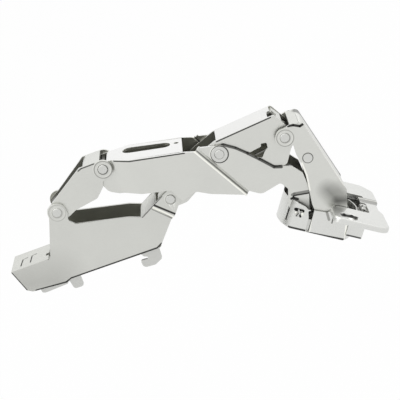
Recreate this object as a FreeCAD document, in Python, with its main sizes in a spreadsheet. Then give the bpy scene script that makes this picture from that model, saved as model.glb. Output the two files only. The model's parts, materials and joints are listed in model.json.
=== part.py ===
import FreeCAD, Part
import math
import os
import Sketcher

doc = FreeCAD.newDocument("CrankedHinge")
V = FreeCAD.Vector

# sizes of the hinge in millimetres
sizes = doc.addObject("Spreadsheet::Sheet", "Sizes")
table = [
    ("sheet_thickness", 1.2, "pressed steel of the arm, links and levers"),
    ("link_gap", 0.1, "side clearance between plates that turn on each other"),
    ("blade_gap", 0.3, "side clearance of the inner lever in the arm"),
    ("base_gap", 0.15, "side clearance of the clip base in the arm"),
    ("lever_gap", 0.45, "side clearance of the release lever in the clip base"),
    ("lug_gap", 0.8, "side clearance of the cranked lever outside the arm"),
    ("cup_gap", 0.5, "side clearance of the front link in the cup"),
    ("cup_wall", 0.8, "boss wall"),
    ("arm_half", 9.6, "centre to the outer face of the arm wall"),
    ("rear_link_half", "=arm_half - sheet_thickness - link_gap", "rear link, inside the arm lugs"),
    ("tongue_half", "=rear_link_half - sheet_thickness - link_gap", "cranked lever inside the rear link"),
    ("crank_half", "=arm_half + lug_gap + sheet_thickness", "cranked lever, wide part"),
    ("inner_half", "=arm_half - sheet_thickness - blade_gap", "inner lever, inside the arm lugs"),
    ("crank_front_half", "=inner_half + sheet_thickness + link_gap", "cranked lever after its joggle"),
    ("front_link_half", "=crank_front_half + sheet_thickness + link_gap", "front link, outside the levers"),
    ("base_half", "=arm_half - sheet_thickness - base_gap", "clip base inside the arm"),
    ("lever_half", "=base_half - sheet_thickness - lever_gap", "release lever inside the clip base"),
    ("pin_radius", 2.1, "all seven linkage pivots"),
    ("running_gap", 0.05, "radial clearance of a turning pivot"),
    ("open_gap", 0.2, "clearance where the rear loop is opened"),
    ("front_open_gap", 1.25, "clearance where the front loop is opened"),
    ("pin_stand_out", 0.35, "pin head proud of its plate"),
    ("washer_radius", 3.7, "riveted collar at the crossing pivot"),
    ("washer_rise", 0.45, "collar above the lever face"),
    ("cup_radius", 17.45, "boss for the 35 mm bore"),
    ("cup_flat", "=front_link_half + cup_gap + cup_wall", "centre to the flat side of the boss"),
    ("cup_floor", 0.9, "boss floor"),
    ("cup_height", 13.1, "underside of the flange to the floor"),
    ("cup_centre", 10.3, "cup rear pivot to the bore axis"),
    ("flange_thickness", 2.4, "flange plate"),
    ("screw_half_pitch", 22.5, "half of the 45 mm screw pitch"),
    ("flange_edge", 5.5, "screw centre to the end of the flange"),
    ("flange_half", "=screw_half_pitch + flange_edge", "half the flange width"),
    ("screw_offset", 9.5, "bore axis to the screw line"),
    ("screw_hole_radius", 2.2, "flange screw hole"),
    ("screw_dish", 1.9, "countersink depth"),
    ("spring_radius", 3.5, "coil of the closing spring"),
    ("spring_wire", 1.0, "wire of the closing spring"),
    ("lever_pin_radius", 1.2, "release lever pivot"),
    ("adjuster_radius", 3.4, "adjusting screw head"),
    ("sleeve_wall", 0.8, "tube around the arm's rear pin"),
    ("sleeve_gap", 0.1, "end clearance of that tube in the rear link"),
]
size = {}
for row, (name, value, note) in enumerate(table, start=1):
    sizes.set("A%d" % row, name)
    sizes.set("B%d" % row, str(value))
    sizes.set("C%d" % row, note)
    sizes.setAlias("B%d" % row, name)
doc.recompute()
for name, value, note in table:
    size[name] = float(getattr(sizes, name))

t = size["sheet_thickness"]
pin_r = size["pin_radius"]
gap = size["running_gap"]

# pivots in the arm frame, x along the arm and z up from the mounting plane
P1 = (20.91, 31.91)
P2 = (47.31, 43.23)
P3 = (70.52, 19.86)
P4 = (98.16, 31.84)
P5 = (127.75, 29.07)
P6 = (134.30, 16.64)
P7 = (122.54, -5.87)
P8 = (137.64, -15.67)
cup_tilt = 34.8

made = []


def new_body(name):
    body = doc.addObject("PartDesign::Body", name)
    body.Label = name
    made.append(body)
    return body


def plane_of(body, role):
    for feature in body.Origin.OriginFeatures:
        if feature.Role == role:
            return feature
    raise ValueError(role)


def new_sketch(body, role, offset, name):
    sketch = body.newObject("Sketcher::SketchObject", name)
    sketch.AttachmentSupport = [(plane_of(body, role), "")]
    sketch.MapMode = "FlatFace"
    sketch.AttachmentOffset = offset
    return sketch


def at(distance):
    return FreeCAD.Placement(V(0, 0, distance), FreeCAD.Rotation())


# closed outline from points (a, b) or (a, b, corner radius)
def outline(sketch, points):
    corners = []
    count = len(points)
    for i in range(count):
        here = V(points[i][0], points[i][1], 0)
        radius = points[i][2] if len(points[i]) > 2 else 0.0
        before = V(points[i - 1][0], points[i - 1][1], 0)
        after = V(points[(i + 1) % count][0], points[(i + 1) % count][1], 0)
        if radius <= 0:
            corners.append((here, here, None))
            continue
        one = (before - here).normalize()
        two = (after - here).normalize()
        angle = math.acos(max(-1.0, min(1.0, one.dot(two))))
        reach = radius / math.tan(angle / 2)
        start = here + one * reach
        end = here + two * reach
        middle = (one + two).normalize()
        centre = here + middle * (radius / math.sin(angle / 2))
        top = centre - middle * radius
        corners.append((start, end, Part.Arc(start, top, end)))
    shapes = []
    for i in range(count):
        start, end, arc = corners[i]
        if arc is not None:
            shapes.append(arc)
        following = corners[(i + 1) % count][0]
        if (following - end).Length > 1e-4:
            shapes.append(Part.LineSegment(end, following))
    for shape in shapes:
        sketch.addGeometry(shape, False)


def circle(sketch, centre, radius):
    sketch.addGeometry(Part.Circle(V(centre[0], centre[1], 0), V(0, 0, 1), radius), False)


# plate in the plane of motion, from its outer face inwards
def plate(body, name, side, half, thickness, points, holes=()):
    level = size[half]
    sketch = new_sketch(body, "XZ_Plane", at(level * side), name + "_outline")
    outline(sketch, points)
    for centre, radius in holes:
        circle(sketch, centre, radius)
    pad = body.newObject("PartDesign::Pad", name)
    pad.Profile = sketch
    pad.setExpression("Length", "Sizes." + thickness)
    pad.Reversed = side > 0
    sketch.Visibility = False
    return pad


# web across the channel, from the middle of one plate to the middle of the other
def web(body, name, half, points):
    sketch = new_sketch(body, "XZ_Plane", at(0), name + "_profile")
    outline(sketch, points)
    pad = body.newObject("PartDesign::Pad", name)
    pad.Profile = sketch
    pad.setExpression("Length", "2 * Sizes.%s - Sizes.sheet_thickness" % half)
    pad.Midplane = True
    sketch.Visibility = False
    return pad


def strip(first, second, thick):
    dx = second[0] - first[0]
    dz = second[1] - first[1]
    length = math.hypot(dx, dz)
    nx = dz / length
    nz = -dx / length
    if nz > 0:
        nx = -nx
        nz = -nz
    return [
        first,
        second,
        (second[0] + nx * thick, second[1] + nz * thick),
        (first[0] + nx * thick, first[1] + nz * thick),
    ]


def pocket(body, name, role, offset, build, length=None, both=False, reverse=False):
    sketch = new_sketch(body, role, offset, name + "_outline")
    build(sketch)
    cut = body.newObject("PartDesign::Pocket", name)
    cut.Profile = sketch
    if length is None:
        cut.Type = "ThroughAll"
    else:
        cut.Length = length
    cut.Midplane = both
    cut.Reversed = reverse
    sketch.Visibility = False
    return cut


# round pin across the hinge with broken edges
def cross_pin(name, centre, radius, length, chamfer=0.25, placement=None):
    body = new_body(name)
    if placement is not None:
        body.Placement = placement
    sketch = new_sketch(body, "XZ_Plane", at(0), name + "_circle")
    circle(sketch, centre, size[radius])
    sketch.addConstraint(Sketcher.Constraint("Radius", 0, size[radius]))
    sketch.setExpression("Constraints[0]", "Sizes." + radius)
    pad = body.newObject("PartDesign::Pad", name + "_shaft")
    pad.Profile = sketch
    pad.setExpression("Length", length)
    pad.Midplane = True
    sketch.Visibility = False
    doc.recompute()
    ends = []
    for i, edge in enumerate(pad.Shape.Edges, start=1):
        if abs(edge.BoundBox.YLength) < 1e-6 and placement is None:
            ends.append("Edge%d" % i)
        elif placement is not None and len(edge.Vertexes) == 1:
            ends.append("Edge%d" % i)
    cut = body.newObject("PartDesign::Chamfer", name + "_chamfer")
    cut.Base = (pad, ends)
    cut.Size = chamfer
    return body


# arm: open channel with a covered tail, rear lugs and front ears
arm = new_body("arm_channel")
web(arm, "tail_web", "arm_half", strip((-9.35, 12.5), (8.8, 12.6), t))
wall = [
    (-9.35, 12.5),
    (-6.1, 1.9, 1.0),
    (-3.6, 0.3, 1.5),
    (0.0, 0.0),
    (12.4, -1.1, 1.0),
    (15.0, 0.0, 1.0),
    (56.8, -0.3, 1.5),
    (59.4, 1.2, 1.5),
    (67.5, 10.6, 1.0),
    (69.6, 11.6, 1.0),
    (76.6, 20.4, 1.0),
    (72.2, 24.7, 3.2),
    (67.6, 22.6, 1.5),
    (55.6, 16.2, 0.6),
    (50.2, 18.4, 1.2),
    (26.6, 24.0, 1.6),
    (24.2, 26.6, 1.5),
    (25.3, 30.0, 0.8),
    (25.1, 36.1, 4.1),
    (16.7, 36.1, 4.1),
    (16.7, 30.6, 2.0),
    (10.2, 13.6, 0.6),
    (8.8, 12.6),
]
lug_hole = pin_r
plate(arm, "near_wall", 1, "arm_half", "sheet_thickness", wall, [(P1, lug_hole), (P3, lug_hole)])
plate(arm, "far_wall", -1, "arm_half", "sheet_thickness", wall, [(P1, lug_hole), (P3, lug_hole)])
web(arm, "bridge_web", "arm_half", strip((54.9, 15.95), (62.8, 19.94), t))


def mark_one(sketch):
    outline(sketch, [(-5.1, -6.2), (-4.6, -6.2), (-4.3, 1.4), (-2.3, 1.9), (-2.3, 2.4), (-4.8, 1.9)])


def mark_two(sketch):
    outline(sketch, [(-0.5, -5.6), (0.0, -5.6), (0.2, 2.2), (2.1, 2.7), (2.1, 3.2), (-0.3, 2.7)])


def tail_hole(sketch):
    outline(sketch, [(7.3, -4.2, 0.5), (9.6, -4.2, 0.5), (9.6, -1.6, 0.5), (7.3, -1.6, 0.5)])


pocket(arm, "first_mark", "XY_Plane", at(12.7), mark_one, 0.45)
pocket(arm, "second_mark", "XY_Plane", at(12.7), mark_two, 0.45)
pocket(arm, "tail_slot", "XY_Plane", at(12.7), tail_hole, 1.6)


def ear_groove(sketch):
    outline(sketch, [(61.0, 19.8), (62.6, 20.6), (70.6, 11.9), (68.6, 10.4)])


pocket(arm, "near_ear_groove", "XZ_Plane", at(size["arm_half"]), ear_groove, 0.35)
pocket(arm, "far_ear_groove", "XZ_Plane", at(-size["arm_half"]), ear_groove, 0.35, reverse=True)

# clip base: inner channel that hooks onto the mounting plate
base = new_body("clip_base")
web(base, "base_web", "base_half", strip((14.5, 8.2), (57.5, 8.2), t))
side = [
    (13.0, 8.2, 1.0),
    (11.0, 4.0, 1.5),
    (11.6, 0.0, 1.0),
    (13.6, -1.6, 1.0),
    (14.2, -5.8, 1.4),
    (19.0, -5.8, 1.4),
    (19.2, 1.2, 1.0),
    (47.5, 1.2, 1.0),
    (49.4, -2.3, 0.6),
    (51.4, -3.1, 0.5),
    (50.6, -3.9, 0.5),
    (47.3, -3.5, 0.9),
    (47.5, -7.4, 1.8),
    (52.9, -7.9, 1.5),
    (57.0, -6.0, 1.8),
    (57.6, 2.0, 1.5),
    (59.4, 4.6, 1.0),
    (59.0, 8.2, 1.0),
]
lever_hole = size["lever_pin_radius"]
plate(base, "near_base_side", 1, "base_half", "sheet_thickness", side, [((14.0, 3.0), lever_hole)])
plate(base, "far_base_side", -1, "base_half", "sheet_thickness", side, [((14.0, 3.0), lever_hole)])


def adjuster_holes(sketch):
    circle(sketch, (24.0, 0.0), 2.55)
    circle(sketch, (40.0, 0.0), 2.55)


pocket(base, "adjuster_bores", "XY_Plane", at(9.0), adjuster_holes, 3.0)

# release lever: sprung thumb piece at the tail
lever = new_body("release_lever")
thumb = [(-0.9, -1.0, 0.4), (0.6, -1.0), (1.5, -2.6), (0.9, -3.6, 0.8), (-0.6, -3.2, 0.8)]
web(lever, "thumb_plate", "lever_half", thumb)
arm_side = [
    (-0.6, -0.6, 0.3),
    (0.2, -3.3, 0.8),
    (1.9, -3.4, 0.8),
    (12.0, -2.9, 0.8),
    (16.4, 2.6, 1.6),
    (14.6, 5.6, 1.9),
    (11.9, 4.0, 1.5),
    (11.5, -0.6, 0.8),
]
side_holes = [((14.0, 3.0), lever_hole + gap)]
plate(lever, "near_lever_side", 1, "lever_half", "sheet_thickness", arm_side, side_holes)
plate(lever, "far_lever_side", -1, "lever_half", "sheet_thickness", arm_side, side_holes)

cross_pin("lever_pin", (14.0, 3.0), "lever_pin_radius", "2 * Sizes.base_half", 0.15)

# adjusting screws of the arm, turned from above
def adjuster(name, x, head_top, drive):
    body = new_body(name)
    sketch = new_sketch(body, "XZ_Plane", at(0), name + "_profile")
    head = size["adjuster_radius"]
    profile = [
        (x, head_top),
        (x + head - 0.3, head_top),
        (x + head, head_top - 0.3),
        (x + head, head_top - 1.6),
        (x + 2.5, head_top - 1.6),
        (x + 2.5, head_top - 5.0),
        (x + 2.0, head_top - 5.5),
        (x, head_top - 5.5),
    ]
    outline(sketch, profile)
    axis = sketch.addGeometry(Part.LineSegment(V(x, head_top + 2, 0), V(x, head_top - 8, 0)), True)
    turn = body.newObject("PartDesign::Revolution", name + "_turned")
    turn.Profile = sketch
    turn.ReferenceAxis = (sketch, ["Axis0"])
    turn.Angle = 360
    sketch.Visibility = False
    doc.recompute()

    def cross(sk):
        w = 0.45
        r = drive
        points = [(-w, -r), (w, -r), (w, -w), (r, -w), (r, w), (w, w)]
        points += [(w, r), (-w, r), (-w, w), (-r, w), (-r, -w), (-w, -w)]
        outline(sk, [(x + a, b) for a, b in points])

    pocket(body, name + "_drive", "XY_Plane", at(head_top), cross, 1.1)
    return body


adjuster("depth_screw", 24.0, 9.85, 2.4)
adjuster("side_screw", 40.0, 9.85, 2.4)

# rear link: open channel from the rear lugs to the cranked lever
link = new_body("rear_link")
web(link, "link_web", "rear_link_half", [(40.0, 47.4), (47.2, 47.4), (47.2, 46.2), (38.6, 46.2)])
near_link = [
    (16.9, 27.8, 4.0),
    (16.9, 34.2, 2.0),
    (37.5, 47.4, 1.0),
    (51.5, 47.4, 4.15),
    (51.5, 39.1, 4.1),
    (45.6, 38.6, 2.0),
    (44.6, 35.6, 2.0),
    (40.2, 31.4, 3.0),
    (29.0, 29.6, 3.0),
    (25.0, 27.8, 3.0),
]
far_link = [
    (16.9, 27.8, 3.7),
    (16.9, 33.4, 2.0),
    (22.4, 36.4, 1.0),
    (38.6, 47.4, 0.6),
    (51.5, 47.4, 4.15),
    (51.5, 39.1, 4.1),
    (45.6, 38.6, 2.0),
    (44.6, 35.6, 2.0),
    (40.2, 31.4, 3.0),
    (29.0, 29.6, 3.0),
    (25.0, 27.8, 3.0),
]
link_holes = [(P1, pin_r + gap), (P2, pin_r + size["open_gap"])]
plate(link, "near_link", 1, "rear_link_half", "sheet_thickness", near_link, link_holes)
plate(link, "far_link", -1, "rear_link_half", "sheet_thickness", far_link, link_holes)

# cranked lever: wide channel, tapered to its rear tongue and joggled in front
crank = new_body("cranked_lever")
web(crank, "crank_web", "crank_half", strip((60.0, 44.12), (83.5, 38.936), t))
left = [
    (60.0, 44.12),
    (84.3, 38.76, 2.0),
    (88.9, 37.2),
    (103.4, 10.2),
    (88.6, 16.3, 2.0),
    (82.4, 19.9, 2.5),
    (75.6, 17.4, 0.8),
    (72.4, 24.2, 0.6),
    (60.0, 27.2),
]
plate(crank, "near_wide_plate", 1, "crank_half", "sheet_thickness", left)
plate(crank, "far_wide_plate", -1, "crank_half", "sheet_thickness", left)

# joggle of each side, drawn across the line where the plate steps inwards
line_start = V(88.9, 0, 37.2)
line_end = V(103.4, 0, 10.2)
along = (line_start - line_end).normalize()
across = V(along.z, 0, -along.x)
turned = FreeCAD.Matrix()
turned.A11, turned.A21, turned.A31 = across.x, across.y, across.z
turned.A12, turned.A22, turned.A32 = 0.0, 1.0, 0.0
turned.A13, turned.A23, turned.A33 = across.cross(V(0, 1, 0)).x, 0.0, across.cross(V(0, 1, 0)).z
joggle_turn = FreeCAD.Rotation(turned)
joggle_dir = across.cross(V(0, 1, 0))
joggle_from = line_end if joggle_dir.dot(along) > 0 else line_start
wide = size["crank_half"]
front = size["crank_front_half"]
for sign, label in ((-1, "near"), (1, "far")):
    joggle_place = FreeCAD.Placement(joggle_from, joggle_turn)
    sketch = new_sketch(crank, "XY_Plane", joggle_place, label + "_joggle_profile")
    step = [(-0.7, wide), (0.0, wide), (1.5, front), (2.3, front)]
    step += [(2.3, front - t), (1.1, front - t), (-0.4, wide - t), (-0.7, wide - t)]
    outline(sketch, [(a, sign * b) for a, b in step])
    pad = crank.newObject("PartDesign::Pad", label + "_joggle")
    pad.Profile = sketch
    pad.Length = (line_start - line_end).Length
    sketch.Visibility = False
shift = across * 1.5
right = [
    (88.9 + shift.x, 37.2 + shift.z),
    (97.8, 36.0, 2.0),
    (101.4, 35.2, 3.0),
    (106.0, 31.8, 6.0),
    (114.0, 23.4, 6.0),
    (119.2, 17.2, 3.0),
    (126.4, 15.4, 1.5),
    (130.0, 10.6, 1.5),
    (130.4, 2.6, 3.0),
    (127.4, -6.8, 3.0),
    (124.6, -9.4, 2.6),
    (119.2, -9.0, 2.6),
    (119.1, -1.4, 3.0),
    (121.5, 5.4, 1.5),
    (119.2, 9.4, 1.5),
    (109.6, 7.4, 4.0),
    (103.4 + shift.x, 10.2 + shift.z),
]
front_holes = [(P4, pin_r + gap), (P7, pin_r + gap)]
plate(crank, "near_front_plate", 1, "crank_front_half", "sheet_thickness", right, front_holes)
plate(crank, "far_front_plate", -1, "crank_front_half", "sheet_thickness", right, front_holes)


# rear tongue and the gently tapered sides that lead to it
tongue = [
    (52.0, 45.62),
    (50.0, 45.85),
    (44.45, 45.85, 2.65),
    (43.9, 37.0, 2.5),
    (45.9, 32.2, 3.5),
    (50.0, 29.7),
    (52.0, 29.2),
]
plate(crank, "near_tongue", 1, "tongue_half", "sheet_thickness", tongue, [(P2, pin_r)])
plate(crank, "far_tongue", -1, "tongue_half", "sheet_thickness", tongue, [(P2, pin_r)])


def loft(body, name, first_x, first, second_x, second):
    sections = []
    for x, corners, label in ((first_x, first, "_from"), (second_x, second, "_to")):
        sketch = new_sketch(body, "YZ_Plane", at(x), name + label)
        outline(sketch, corners)
        sketch.Visibility = False
        sections.append(sketch)
    lofted = body.newObject("PartDesign::AdditiveLoft", name)
    lofted.Profile = sections[0]
    lofted.Sections = [sections[1]]
    lofted.Ruled = True
    return lofted


narrow = size["tongue_half"]
web(crank, "tongue_web", "tongue_half", [(50.0, 45.85), (52.0, 45.62), (52.0, 44.42), (50.0, 44.65)])
for sign, label in ((-1, "near"), (1, "far")):
    one = [(narrow - t, 45.62), (narrow, 45.62), (narrow, 29.2), (narrow - t, 29.2)]
    two = [(wide - t, 44.12), (wide, 44.12), (wide, 27.2), (wide - t, 27.2)]
    start = [(sign * a, b) for a, b in one]
    end = [(sign * a, b) for a, b in two]
    loft(crank, label + "_taper", 52.0, start, 60.0, end)
loft(
    crank,
    "tapered_web",
    52.0,
    [(-narrow, 45.62), (narrow, 45.62), (narrow, 44.42), (-narrow, 44.42)],
    60.0,
    [(-wide, 44.12), (wide, 44.12), (wide, 42.9), (-wide, 42.9)],
)


def web_slot(sketch):
    outline(sketch, [(57.0, -0.9, 3.7), (78.2, -0.2, 3.2), (78.2, 6.4, 3.2), (57.0, 7.1, 3.7)])


def web_hole(sketch):
    circle(sketch, (80.9, 4.0), 1.1)


pocket(crank, "web_slot", "XY_Plane", at(50.0), web_slot, 14.0)
pocket(crank, "web_hole", "XY_Plane", at(50.0), web_hole, 14.0)

# inner lever: passes between the plates of the cranked lever
inner = new_body("inner_lever")
web(inner, "inner_web", "inner_half", strip((98.8, 37.789), (125.2, 39.808), t))
web(inner, "curled_end", "inner_half", strip((126.2, 39.5), (128.9, 35.2), t))
blade = [
    (63.9, 25.2, 5.2),
    (74.0, 25.6, 6.0),
    (86.0, 33.2, 6.0),
    (97.9, 37.72, 0.8),
    (126.4, 39.9, 0.8),
    (131.0, 31.8, 3.0),
    (131.0, 24.9, 3.4),
    (128.8, 22.6, 1.5),
    (124.6, 16.1, 2.2),
    (118.6, 16.9, 2.5),
    (105.0, 26.2, 8.0),
    (95.0, 25.8, 6.0),
    (77.0, 15.4, 4.0),
    (66.2, 15.0, 4.4),
]
inner_holes = [(P3, pin_r + gap), (P4, pin_r), (P5, pin_r)]
plate(inner, "near_blade", 1, "inner_half", "sheet_thickness", blade, inner_holes)
plate(inner, "far_blade", -1, "inner_half", "sheet_thickness", blade, inner_holes)


def blade_window(sketch):
    outline(
        sketch,
        [
            (111.4, 24.6, 0.6), (110.2, 27.2, 0.6), (116.6, 28.2), (116.8, 29.5, 0.5),
            (119.4, 29.0, 0.5), (119.2, 26.6), (117.4, 25.4, 1.0), (115.2, 22.8, 0.8),
        ],
    )


pocket(inner, "blade_window", "XZ_Plane", at(0), blade_window, 30.0, both=True)


def web_notch(sketch):
    outline(sketch, [(123.6, -7.2, 0.5), (127.5, -7.2), (127.5, 0.6), (123.6, 0.6, 0.5)])


pocket(inner, "web_notch", "XY_Plane", at(41.0), web_notch, 4.0)

# front link: outer channel whose web faces the door
outer = new_body("front_link")
web(
    outer,
    "front_web",
    "front_link_half",
    [
        (131.6, 33.9),
        (137.2, 33.5, 2.6),
        (145.5, -1.9),
        (144.3, -2.2),
        (136.3, 32.3, 1.5),
        (131.6, 32.7),
    ],
)
cheek = [
    (123.55, 33.27, 4.18),
    (129.0, 33.27, 0.6),
    (131.6, 33.9),
    (137.2, 33.5, 2.6),
    (145.898, -3.6, 1.0),
    (143.6, -11.6, 2.5),
    (142.24, -20.27, 4.6),
    (133.04, -20.27, 4.6),
    (129.4, -12.4, 3.0),
    (129.2, -4.6, 4.0),
    (130.9, 9.0, 6.0),
    (130.7, 14.6, 3.0),
    (130.0, 20.0, 2.5),
    (130.2, 24.87, 0.8),
    (123.55, 24.87, 4.18),
]
slot_radius = pin_r + size["front_open_gap"]
cheek_holes = [(P5, pin_r + gap), (P6, pin_r), (P8, slot_radius)]
plate(outer, "near_cheek", 1, "front_link_half", "sheet_thickness", cheek, cheek_holes)
plate(outer, "far_cheek", -1, "front_link_half", "sheet_thickness", cheek, cheek_holes)

# pins of the linkage
cross_pin("arm_rear_pin", P1, "pin_radius", "2 * (Sizes.arm_half + Sizes.pin_stand_out)")
cross_pin("rear_link_pin", P2, "pin_radius", "2 * (Sizes.rear_link_half + Sizes.pin_stand_out)")
cross_pin("arm_front_pin", P3, "pin_radius", "2 * (Sizes.arm_half + Sizes.pin_stand_out)")
collar_pin_length = "2 * (Sizes.crank_front_half + Sizes.washer_rise + Sizes.pin_stand_out)"
cross_pin("crossing_pin", P4, "pin_radius", collar_pin_length)
cross_pin("front_link_pin", P5, "pin_radius", "2 * (Sizes.front_link_half + Sizes.pin_stand_out)")

# short rivets in the cheeks of the front link, one on each side
rivets = new_body("link_rivets")
for sign, label in ((1, "near"), (-1, "far")):
    sketch = new_sketch(rivets, "XZ_Plane", at(sign * (size["front_link_half"] - t)), label + "_rivet_circle")
    circle(sketch, P6, pin_r)
    pad = rivets.newObject("PartDesign::Pad", label + "_rivet")
    pad.Profile = sketch
    pad.setExpression("Length", "Sizes.sheet_thickness + Sizes.pin_stand_out")
    pad.Reversed = sign < 0
    sketch.Visibility = False

# collars at the crossing pivot, one on each side
collar = new_body("crossing_collars")
for sign, label in ((1, "near"), (-1, "far")):
    sketch = new_sketch(collar, "XZ_Plane", at(sign * size["crank_front_half"]), label + "_collar_ring")
    circle(sketch, P4, size["washer_radius"])
    circle(sketch, P4, pin_r + gap)
    pad = collar.newObject("PartDesign::Pad", label + "_collar")
    pad.Profile = sketch
    pad.setExpression("Length", "Sizes.washer_rise")
    pad.Reversed = sign < 0
    sketch.Visibility = False


# sleeve: plain tube around a pin between two plates
def sleeve(name, centre, outer_radius, inner_radius, length):
    body = new_body(name)
    sketch = new_sketch(body, "XZ_Plane", at(0), name + "_ring")
    circle(sketch, centre, outer_radius)
    circle(sketch, centre, inner_radius)
    pad = body.newObject("PartDesign::Pad", name + "_tube")
    pad.Profile = sketch
    pad.setExpression("Length", length)
    pad.Midplane = True
    sketch.Visibility = False
    return body


sleeve_length = "2 * (Sizes.rear_link_half - Sizes.sheet_thickness - Sizes.sleeve_gap)"
sleeve("rear_sleeve", P1, pin_r + size["sleeve_wall"], pin_r, sleeve_length)

# closing spring: close wound coil on the front link pin with one straight leg
spring = new_body("closing_spring")
coil = new_sketch(spring, "XY_Plane", at(P5[1]), "coil_profile")
wire = size["spring_wire"]
turns = 10
top_r = size["spring_radius"]
core_r = pin_r + 0.1
points = [(P5[0] + core_r, -turns * wire / 2)]
edges = []
start_y = -turns * wire / 2
edges.append(Part.LineSegment(V(P5[0] + core_r, start_y, 0), V(P5[0] + top_r - wire / 2, start_y, 0)))
for k in range(turns):
    a = V(P5[0] + top_r - wire / 2, start_y + k * wire, 0)
    b = V(P5[0] + top_r, start_y + (k + 0.5) * wire, 0)
    c = V(P5[0] + top_r - wire / 2, start_y + (k + 1) * wire, 0)
    edges.append(Part.Arc(a, b, c))
end_y = start_y + turns * wire
edges.append(Part.LineSegment(V(P5[0] + top_r - wire / 2, end_y, 0), V(P5[0] + core_r, end_y, 0)))
edges.append(Part.LineSegment(V(P5[0] + core_r, end_y, 0), V(P5[0] + core_r, start_y, 0)))
for edge in edges:
    coil.addGeometry(edge, False)
coil.addGeometry(Part.LineSegment(V(P5[0], -8, 0), V(P5[0], 8, 0)), True)
wound = spring.newObject("PartDesign::Revolution", "coil")
wound.Profile = coil
wound.ReferenceAxis = (coil, ["Axis0"])
wound.Angle = 360
coil.Visibility = False
leg = new_sketch(spring, "XZ_Plane", at(4.5), "leg_outline")
outline(leg, [(126.6, 26.35), (126.9, 25.4), (112.6, 23.9, 0.4), (112.4, 24.9, 0.4)])
leg_pad = spring.newObject("PartDesign::Pad", "leg")
leg_pad.Profile = leg
leg_pad.Length = 1.0
leg_pad.Midplane = True
leg.Visibility = False

# the cup is drawn square to its own bore and turned into place
cup_place = FreeCAD.Placement(V(P7[0], 0, P7[1]), FreeCAD.Rotation(V(0, 1, 0), cup_tilt))
floor = -8.5
centre = size["cup_centre"]
front_wall = centre + size["cup_radius"]
rear_wall = centre - size["cup_radius"]


# boss outline: a circle with two flat sides
def boss(sketch, radius, flat):
    reach = math.sqrt(radius * radius - flat * flat)
    left_top = V(centre - reach, flat, 0)
    right_top = V(centre + reach, flat, 0)
    left_low = V(centre - reach, -flat, 0)
    right_low = V(centre + reach, -flat, 0)
    sketch.addGeometry(Part.LineSegment(left_top, right_top), False)
    sketch.addGeometry(Part.Arc(right_top, V(centre + radius, 0, 0), right_low), False)
    sketch.addGeometry(Part.LineSegment(right_low, left_low), False)
    sketch.addGeometry(Part.Arc(left_low, V(centre - radius, 0, 0), left_top), False)


cup = new_body("cup_body")
cup.Placement = cup_place
shell = new_sketch(cup, "XY_Plane", at(floor), "boss_outline")
boss(shell, size["cup_radius"], size["cup_flat"])
boss_pad = cup.newObject("PartDesign::Pad", "boss")
boss_pad.Profile = shell
boss_pad.setExpression("Length", "Sizes.cup_height")
shell.Visibility = False
doc.recompute()
low = []
for i, edge in enumerate(boss_pad.Shape.Edges, start=1):
    local = edge.CenterOfMass
    if abs(local.z - floor) < 0.01 and edge.BoundBox.ZLength < 0.01:
        low.append("Edge%d" % i)
if low:
    foot = cup.newObject("PartDesign::Chamfer", "foot_chamfer")
    foot.Base = (boss_pad, low)
    foot.Size = 0.4
mouth = floor + size["cup_height"]


def boss_inside(sketch):
    boss(sketch, size["cup_radius"] - size["cup_wall"], size["cup_flat"] - size["cup_wall"])


pocket(cup, "cup_hollow", "XY_Plane", at(mouth), boss_inside, size["cup_height"] - size["cup_floor"])


def wall_slots(sketch):
    outline(sketch, [(4.7, 4.0), (6.3, 4.0), (6.6, -7.4, 0.3), (5.0, -7.4, 0.3)])


def rear_pin_hole(sketch):
    circle(sketch, (0.0, 0.0), pin_r)


def front_pin_hole(sketch):
    circle(sketch, (18.0, 0.58), pin_r)


pocket(cup, "near_wall_slot", "XZ_Plane", at(size["cup_flat"] + 1.0), wall_slots, 2.2)
pocket(cup, "far_wall_slot", "XZ_Plane", at(-size["cup_flat"] - 1.0), wall_slots, 2.2, reverse=True)
pocket(cup, "rear_pin_bore", "XZ_Plane", at(0), rear_pin_hole, 40.0, both=True)
bore_depth = 2 * size["cup_flat"] - size["cup_wall"]
pocket(cup, "front_pin_bore", "XZ_Plane", at(0), front_pin_hole, bore_depth, both=True)


def rear_mouth(sketch):
    outline(sketch, [(-1.8, 4.2), (2.2, 3.2), (3.6, 2.2), (12.0, 2.8), (15.0, 4.7), (15.0, 9.0), (-1.8, 9.0)])


pocket(cup, "rear_mouth", "XZ_Plane", at(0), rear_mouth, 40.0, both=True)


# slots for the cranked lever in the rear wall and for the front link in the front wall
def rear_room(sketch):
    outline(sketch, [(-9.0, -5.8), (-2.5, -5.8), (-2.5, 9.0), (-9.0, 9.0)])


def front_room(sketch):
    slot_start, slot_end = front_wall - 6.15, front_wall + 2.0
    outline(sketch, [(slot_start, -5.4), (slot_end, -5.4), (slot_end, 6.0), (slot_start, 6.0)])


inner_wall = size["cup_flat"] - size["cup_wall"]
lever_side = size["crank_front_half"] + 0.3
pocket(cup, "near_rear_room", "XZ_Plane", at(lever_side), rear_room, t + 0.6)
pocket(cup, "far_rear_room", "XZ_Plane", at(-lever_side), rear_room, t + 0.6, reverse=True)
link_room = inner_wall - size["crank_front_half"] + 0.2
pocket(cup, "near_front_room", "XZ_Plane", at(inner_wall), front_room, link_room)
pocket(cup, "far_front_room", "XZ_Plane", at(-inner_wall), front_room, link_room, reverse=True)

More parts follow.
